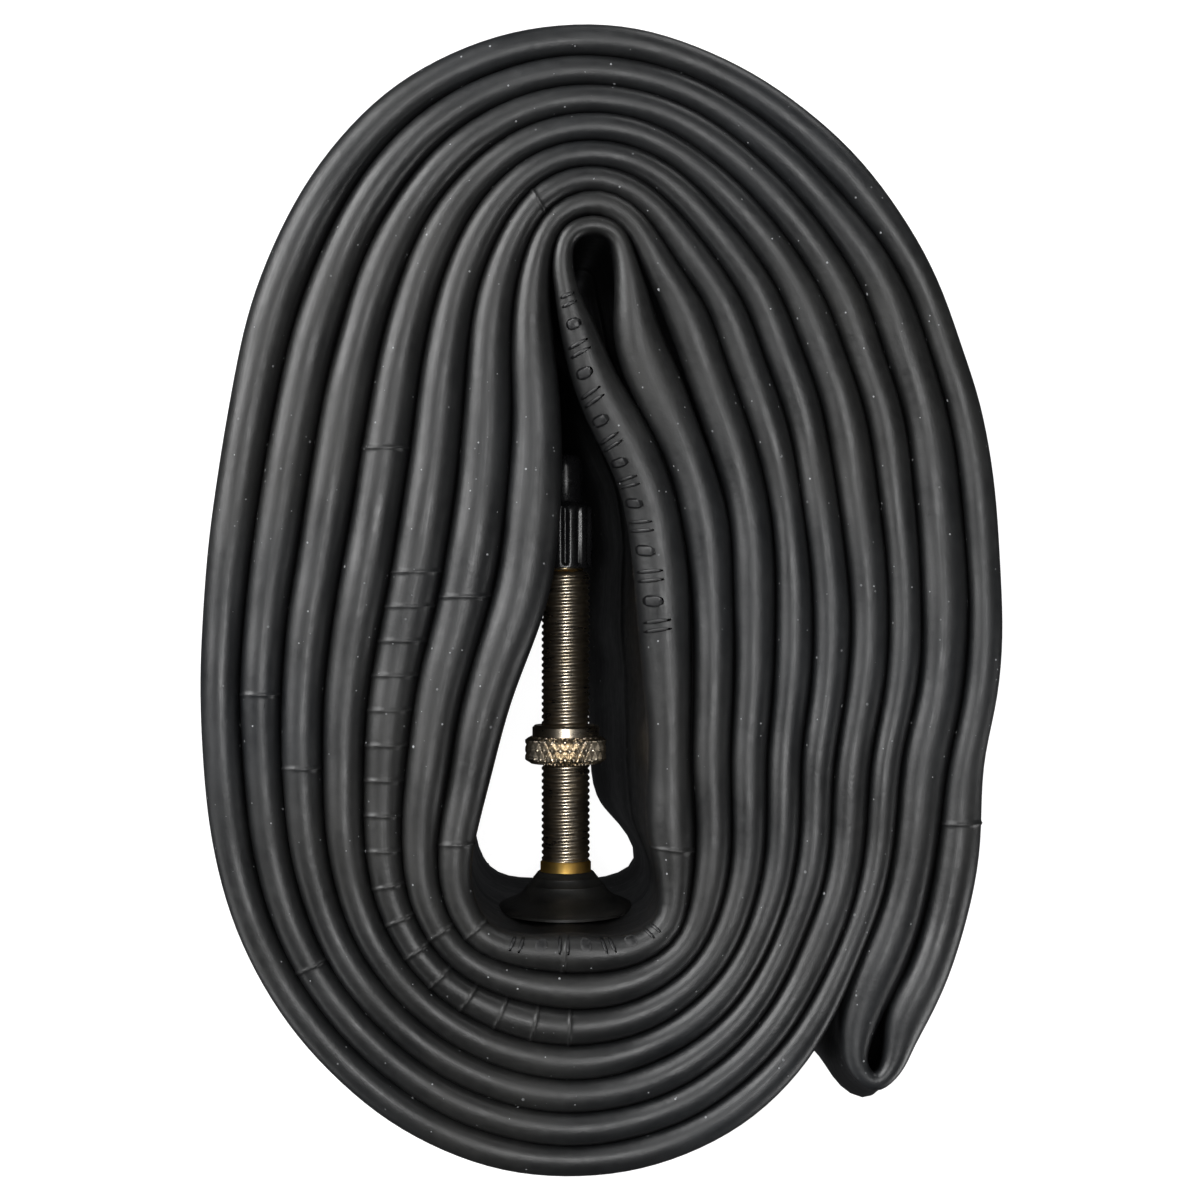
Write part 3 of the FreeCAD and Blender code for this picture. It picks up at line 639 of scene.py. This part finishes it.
def thread_surface(bm, radius, depth, pitch, start, turns):
    """The outside of a screw thread, cut square to the axis at both ends, which it returns as loops of edges.
    One turn is spun along its helix and copied on, a turn beyond each end, before the ends are cut."""
    tooth = [(0.0, depth), (0.12, 0.95 * depth), (0.30, 0.16 * depth), (0.42, 0.0), (0.58, 0.0),
             (0.70, 0.16 * depth), (0.88, 0.95 * depth), (1.0, depth)]
    verts = [bm.verts.new(VALVE_PLACE + Vector((radius - down, start + (share - 2) * pitch, 0)) * MM)
             for share, down in tooth]
    edges = [bm.edges.new(pair) for pair in zip(verts, verts[1:])]
    bmesh.ops.spin(bm, geom=verts + edges, cent=VALVE_PLACE, axis=VALVE_AXIS, angle=2 * math.pi,
                   steps=THREAD_STEPS, dvec=VALVE_AXIS * (pitch / THREAD_STEPS * MM))
    first_turn = bm.faces[:]
    for n in range(1, turns + 3):
        copied = bmesh.ops.duplicate(bm, geom=first_turn)["geom"]
        bmesh.ops.translate(bm, verts=[part for part in copied if isinstance(part, bmesh.types.BMVert)],
                            vec=VALVE_AXIS * (n * pitch * MM))
    bmesh.ops.remove_doubles(bm, verts=bm.verts, dist=2e-6)
    loops = []
    for along, outward in ((start, -1), (start + turns * pitch, 1)):
        cut = bmesh.ops.bisect_plane(bm, geom=bm.verts[:] + bm.edges[:] + bm.faces[:], dist=1e-8,
                                     plane_co=VALVE_AXIS * (along * MM), plane_no=VALVE_AXIS * outward,
                                     clear_outer=True)["geom_cut"]
        loops.append([part for part in cut if isinstance(part, bmesh.types.BMEdge)])
    return loops


def carry_on(bm, edges, outline):
    """Extrudes a loop of edges round the valve's axis through a list of (radius, distance along)."""
    for radius, along in outline:
        grown = bmesh.ops.extrude_edge_only(bm, edges=edges)["geom"]
        edges = [part for part in grown if isinstance(part, bmesh.types.BMEdge)]
        for vert in {vert for edge in edges for vert in edge.verts}:
            place_round(vert, radius, from_axis(vert)[1], along)
    return edges


def metal_finish(name, bright, dark, roughness):
    """Plated or turned metal, with tarnish in patches and fine turning marks."""
    material, shader, add, join = new_finish(name)
    place = add("ShaderNodeTexCoord").outputs["Object"]
    patches = grain(add, join, place, 340.0, 4.0)
    turning = add("ShaderNodeMapping")
    join(place, turning.inputs["Vector"])
    turning.inputs["Scale"].default_value = (300.0, 5200.0, 300.0)
    marks = grain(add, join, turning.outputs["Vector"], 1.0, 3.0)
    share = ramp(add, join, patches, 0.35, 0.65, 0.0, 1.0)
    join(tint(add, join, share, dark, bright), shader.inputs["Base Color"])
    dull = combine(add, join, "ADD", ramp(add, join, patches, 0.3, 0.7, roughness + 0.08, roughness - 0.05),
                   ramp(add, join, marks, 0.3, 0.7, 0.0, 0.07))
    join(dull, shader.inputs["Roughness"])
    bump = add("ShaderNodeBump", Strength=0.06, Distance=0.00002)
    join(marks, bump.inputs["Height"])
    join(bump.outputs["Normal"], shader.inputs["Normal"])
    shader.inputs["Metallic"].default_value = 1.0
    return material


nickel = metal_finish("dark_nickel_plate", (0.82, 0.72, 0.58), (0.56, 0.47, 0.34), 0.27)
bare_brass = metal_finish("bare_brass", (0.95, 0.62, 0.17), (0.80, 0.48, 0.12), 0.40)

bm = bmesh.new()
foot_end, top_end = thread_surface(bm, STEM_RADIUS, STEM_THREAD_DEPTH, STEM_PITCH, STEM_THREAD_START,
                                   STEM_THREAD_TURNS)
bore = carry_on(bm, top_end, [(2.75, 3.3), (2.6, 3.5), (2.0, 3.5), (2.0, -13.6), (1.75, -14.0),
                              (1.75, -37.6)])
foot = carry_on(bm, bore, [(4.3, -37.6), (4.3, -36.7), (3.15, -35.9), (3.15, -32.5), (2.95, -32.3)])
bmesh.ops.bridge_loops(bm, edges=foot + foot_end)
bmesh.ops.recalc_face_normals(bm, faces=bm.faces)
stem = finish_piece(bm, "valve_stem_threaded", nickel, 50, "tube", "valve_stem")
stem.data.materials.append(bare_brass)
for face in stem.data.polygons:
    if face.center.y / MM < COLLAR_TOP:
        face.material_index = 1


# ---- the rim nut ----
# A round brass nut, nickel-plated, with a diamond knurl rolled on its ring and a plain shoulder that centres
# it in the rim's hole. It is screwed part of the way down the stem.
NUT_RING_RADIUS = 5.05
NUT_RING_START, NUT_RING_END = -20.25, -16.9
NUT_CHAMFER = 0.45
KNURL_LEAST_RADIUS = 4.6
KNURL_TEETH = 28
KNURL_SLANT = 0.46
KNURL_DEPTH = 0.45
KNURL_FLAT = 1.35
KNURL_STEPS = 336
KNURL_ROWS = 23


def knurl_ridge(count):
    """0 in a groove and 1 on a ridge, for a place given as a count of teeth."""
    return min(1.0, abs(2 * (count % 1.0) - 1) * KNURL_FLAT)


knurled = np.linspace(NUT_RING_START + NUT_CHAMFER, NUT_RING_END - NUT_CHAMFER, KNURL_ROWS)
bm = bmesh.new()
turned(bm, [
    (3.06, -20.25), (4.35, -20.25), (4.7, -20.1), *[(NUT_RING_RADIUS, along) for along in knurled],
    (4.7, -17.05), (4.35, -16.9), (4.15, -16.88), (4.15, -15.8), (3.85, -15.5), (3.06, -15.5),
], KNURL_STEPS)
for vert in bm.verts:
    radius, angle, along = from_axis(vert)
    if radius > KNURL_LEAST_RADIUS:
        around = angle / (2 * math.pi) * KNURL_TEETH
        ridge = min(knurl_ridge(around + along * KNURL_SLANT), knurl_ridge(around - along * KNURL_SLANT))
        place_round(vert, radius - KNURL_DEPTH * (1 - ridge), angle, along)
finish_piece(bm, "rim_nut_knurled", nickel, 28, "nut", "rim_nut")


# ---- the valve core ----
# The core is a turned brass nipple with its own 5.2 mm thread and two spanner flats, screwed into the stem,
# and a pin through it with a small knurled nut on top. A gasket and a plunger seal of soft rubber lie inside.
# A thread is given as radius, depth, pitch, start and turns.
CORE_THREAD = (2.6, 0.42, 1.06, 3.65, 5)
PIN_THREAD = (0.9, 0.14, 0.4, 8.2, 11)
FLATS_START, FLATS_END, FLAT_HALF_WIDTH = 5.5, 8.1, 2.2
FLATS_EDGE = 0.02
LOCK_NUT_STEPS = 120
LOCK_NUT_FLUTES = 20
LOCK_NUT_FLUTE_DEPTH = 0.2
LOCK_NUT_LEAST_RADIUS = 1.7
core_metal = metal_finish("turned_core_brass", (0.78, 0.63, 0.38), (0.58, 0.45, 0.25), 0.24)

bm = bmesh.new()
shank_end, nipple_end = thread_surface(bm, *CORE_THREAD)
top = carry_on(bm, nipple_end, [(2.3, 9.0), (0.97, 9.0), (0.97, -11.8)])
shank = carry_on(bm, top, [(1.95, -11.8), (1.95, -9.6), (1.45, -9.6), (1.45, -8.4), (1.95, -8.4),
                           (1.95, 3.5), (2.2, 3.5)])
bmesh.ops.bridge_loops(bm, edges=shank + shank_end)
for along in (FLATS_START, FLATS_START + FLATS_EDGE, FLATS_END - FLATS_EDGE, FLATS_END):
    bmesh.ops.bisect_plane(bm, geom=bm.verts[:] + bm.edges[:] + bm.faces[:], dist=1e-8,
                           plane_co=VALVE_AXIS * (along * MM), plane_no=VALVE_AXIS)
for vert in bm.verts:
    if FLATS_START + FLATS_EDGE / 2 < vert.co.y / MM < FLATS_END - FLATS_EDGE / 2:
        height = (vert.co.z - VALVE_PLACE.z) / MM
        vert.co.z = VALVE_PLACE.z + max(-FLAT_HALF_WIDTH, min(FLAT_HALF_WIDTH, height)) * MM
bmesh.ops.recalc_face_normals(bm, faces=bm.faces)
finish_piece(bm, "core_nipple", core_metal, 40, "tube", "core_body")

bm = bmesh.new()
pin_foot, pin_top = thread_surface(bm, *PIN_THREAD)
carry_on(bm, pin_top, [(0.78, 12.75), (0.6, 12.9), (0.32, 13.0), (0.0, 13.0)])
carry_on(bm, pin_foot, [(0.9, 8.1), (0.9, -12.6), (1.4, -12.6), (1.4, -13.0), (1.2, -13.2), (0.0, -13.2)])
bmesh.ops.remove_doubles(bm, verts=bm.verts, dist=1e-6)
bmesh.ops.recalc_face_normals(bm, faces=bm.faces)
finish_piece(bm, "core_pin_threaded", core_metal, 40, "pin", "core_pin")

bm = bmesh.new()
turned(bm, [
    (0.97, 9.0), (1.75, 9.0), (2.0, 9.12), (2.1, 9.35), (2.1, 10.0), (2.1, 10.7), (2.05, 11.1), (1.8, 11.35),
    (1.4, 11.4), (0.97, 11.4),
], LOCK_NUT_STEPS)
for vert in bm.verts:
    radius, angle, along = from_axis(vert)
    if radius > LOCK_NUT_LEAST_RADIUS:
        flute = 1 - abs(math.sin(angle * LOCK_NUT_FLUTES / 2))
        place_round(vert, radius - LOCK_NUT_FLUTE_DEPTH * flute, angle, along)
finish_piece(bm, "core_lock_nut_knurled", core_metal, 40, "lock", "core_lock_nut")


def seal_finish():
    """Soft dark grey seal rubber."""
    material, shader, add, join = new_finish("seal_rubber")
    place = add("ShaderNodeTexCoord").outputs["Object"]
    cloud = grain(add, join, place, 900.0, 3.0)
    join(tint(add, join, cloud, (0.02, 0.02, 0.02), (0.05, 0.05, 0.05)), shader.inputs["Base Color"])
    join(ramp(add, join, cloud, 0.3, 0.7, 0.55, 0.7), shader.inputs["Roughness"])
    bump = add("ShaderNodeBump", Strength=0.3, Distance=0.00005)
    join(cloud, bump.inputs["Height"])
    join(bump.outputs["Normal"], shader.inputs["Normal"])
    return material


seal = seal_finish()
for node in ("core_gasket", "core_plunger_seal"):
    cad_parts[node].data.materials.clear()
    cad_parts[node].data.materials.append(seal)


# ---- the dust cap ----
# A thin cap of glossy black polypropylene, moulded with straight ribs round its skirt for grip and a narrow
# closed tip that covers the pin. It is screwed down the nipple to the end of its thread.
CAP_RIBS = 12
CAP_STEPS = 216
RIB_START, RIB_END = 4.2, 11.3
RIB_DEPTH = 0.34
SKIRT_LEAST_RADIUS = 3.25


def cap_finish():
    """Glossy black moulded plastic with faint flow marks and fine scuffs."""
    material, shader, add, join = new_finish("cap_plastic")
    place = add("ShaderNodeTexCoord").outputs["Object"]
    cloud = grain(add, join, place, 400.0, 3.0)
    scuff = grain(add, join, place, 3200.0, 4.0, 0.7)
    join(tint(add, join, cloud, (0.006, 0.006, 0.007), (0.016, 0.016, 0.017)), shader.inputs["Base Color"])
    join(combine(add, join, "ADD", ramp(add, join, cloud, 0.3, 0.7, 0.20, 0.30),
                 ramp(add, join, scuff, 0.55, 0.8, 0.0, 0.2)), shader.inputs["Roughness"])
    bump = add("ShaderNodeBump", Strength=0.25, Distance=0.00004)
    join(scuff, bump.inputs["Height"])
    join(bump.outputs["Normal"], shader.inputs["Normal"])
    return material


bm = bmesh.new()
turned(bm, [
    (2.66, 3.9), (3.2, 3.9), (3.38, 4.0), (3.4, 4.2), (3.4, 4.6), (3.4, 7.5), (3.4, 10.7), (3.4, 11.2),
    (3.3, 11.5), (3.0, 11.75), (2.6, 11.95), (2.25, 12.15), (2.1, 12.5), (2.08, 14.5), (2.04, 16.6),
    (1.95, 17.3), (1.7, 17.75), (1.3, 18.0), (0.7, 18.1), (0.0, 18.1), (0.0, 16.8), (1.3, 16.8),
    (1.3, 11.8), (2.3, 11.8), (2.3, 9.6), (2.66, 9.6),
], CAP_STEPS)
for vert in bm.verts:
    radius, angle, along = from_axis(vert)
    if radius > SKIRT_LEAST_RADIUS and RIB_START <= along <= RIB_END:
        groove = 0.5 + 0.5 * math.cos(angle * CAP_RIBS)
        place_round(vert, radius - RIB_DEPTH * groove**2, angle, along)
finish_piece(bm, "dust_cap_ribbed", cap_finish(), 35, "cap", "dust_cap")


# ---- the table and the light ----
# A plain white table with its edge swept up into a white surround, in metres. A broad soft light stands high
# on the left, two weaker ones hang overhead, and three low ones stand round the table to show the sides. The
# table lights nothing by itself, so that the inside of the coil stays dark.
TABLE_OUTLINE = [(0.0, 0.0), (1.6, 0.0), (1.9, 0.08), (2.1, 0.3), (2.2, 0.8), (2.2, 2.5)]
TABLE_STEPS = 64


def table_finish():
    """Bright matt white with a faint mottle."""
    material, shader, add, join = new_finish("white_table")
    place = add("ShaderNodeTexCoord").outputs["Object"]
    mottle = grain(add, join, place, 40.0, 3.0)
    join(tint(add, join, mottle, (0.24, 0.24, 0.24), (0.26, 0.26, 0.26)), shader.inputs["Base Color"])
    shader.inputs["Roughness"].default_value = 0.9
    shader.inputs["Emission Color"].default_value = (1.0, 1.0, 1.0, 1.0)
    shader.inputs["Emission Strength"].default_value = 0.95
    return material


bm = bmesh.new()
verts = [bm.verts.new((radius, 0, height)) for radius, height in TABLE_OUTLINE]
edges = [bm.edges.new(pair) for pair in zip(verts, verts[1:])]
bmesh.ops.spin(bm, geom=verts + edges, cent=(0, 0, 0), axis=(0, 0, 1), angle=2 * math.pi,
               steps=TABLE_STEPS, use_merge=True)
bmesh.ops.remove_doubles(bm, verts=bm.verts, dist=1e-6)
bmesh.ops.recalc_face_normals(bm, faces=bm.faces)
bmesh.ops.reverse_faces(bm, faces=bm.faces)
table_mesh = bpy.data.meshes.new("table")
bm.to_mesh(table_mesh)
bm.free()
table_mesh.shade_smooth()
table_mesh.materials.append(table_finish())
table = bpy.data.objects.new("table", table_mesh)
bpy.context.scene.collection.objects.link(table)
table.visible_diffuse = False
table.visible_glossy = False
table.visible_shadow = False


def soft_light(name, energy, size, place):
    """A round soft light that points at the middle of the table."""
    data = bpy.data.lights.new(name, "AREA")
    data.shape = "DISK"
    data.energy = energy
    data.size = size
    light = bpy.data.objects.new(name, data)
    light.location = place
    light.rotation_euler = (-Vector(place)).to_track_quat("-Z", "Y").to_euler()
    light.visible_camera = False
    bpy.context.scene.collection.objects.link(light)


soft_light("key_light", 5.2, 0.50, (-0.44, 0.26, 0.33))
soft_light("top_light", 0.8, 0.26, (0.02, 0.04, 0.60))
soft_light("valve_light", 0.33, 0.055, (-0.006, -0.02, 0.45))
soft_light("low_light_right", 2.2, 0.40, (0.55, -0.38, 0.11))
soft_light("low_light_back", 1.4, 0.40, (0.25, 0.62, 0.11))
soft_light("low_light_left", 1.0, 0.40, (-0.58, -0.36, 0.11))

world = bpy.data.worlds.new("pale_surround")
world.use_nodes = True
world.node_tree.nodes["Background"].inputs["Color"].default_value = (0.93, 0.95, 1.0, 1.0)
world.node_tree.nodes["Background"].inputs["Strength"].default_value = 0.05
bpy.context.scene.world = world
bpy.context.scene.view_settings.view_transform = "Standard"

camera_data = bpy.data.cameras.new("camera")
camera_data.lens = 61.3
camera_data.clip_start = 0.01
camera = bpy.data.objects.new("camera", camera_data)
camera.location = (0.001065, 0.0, 0.280)
bpy.context.scene.collection.objects.link(camera)
bpy.context.scene.camera = camera
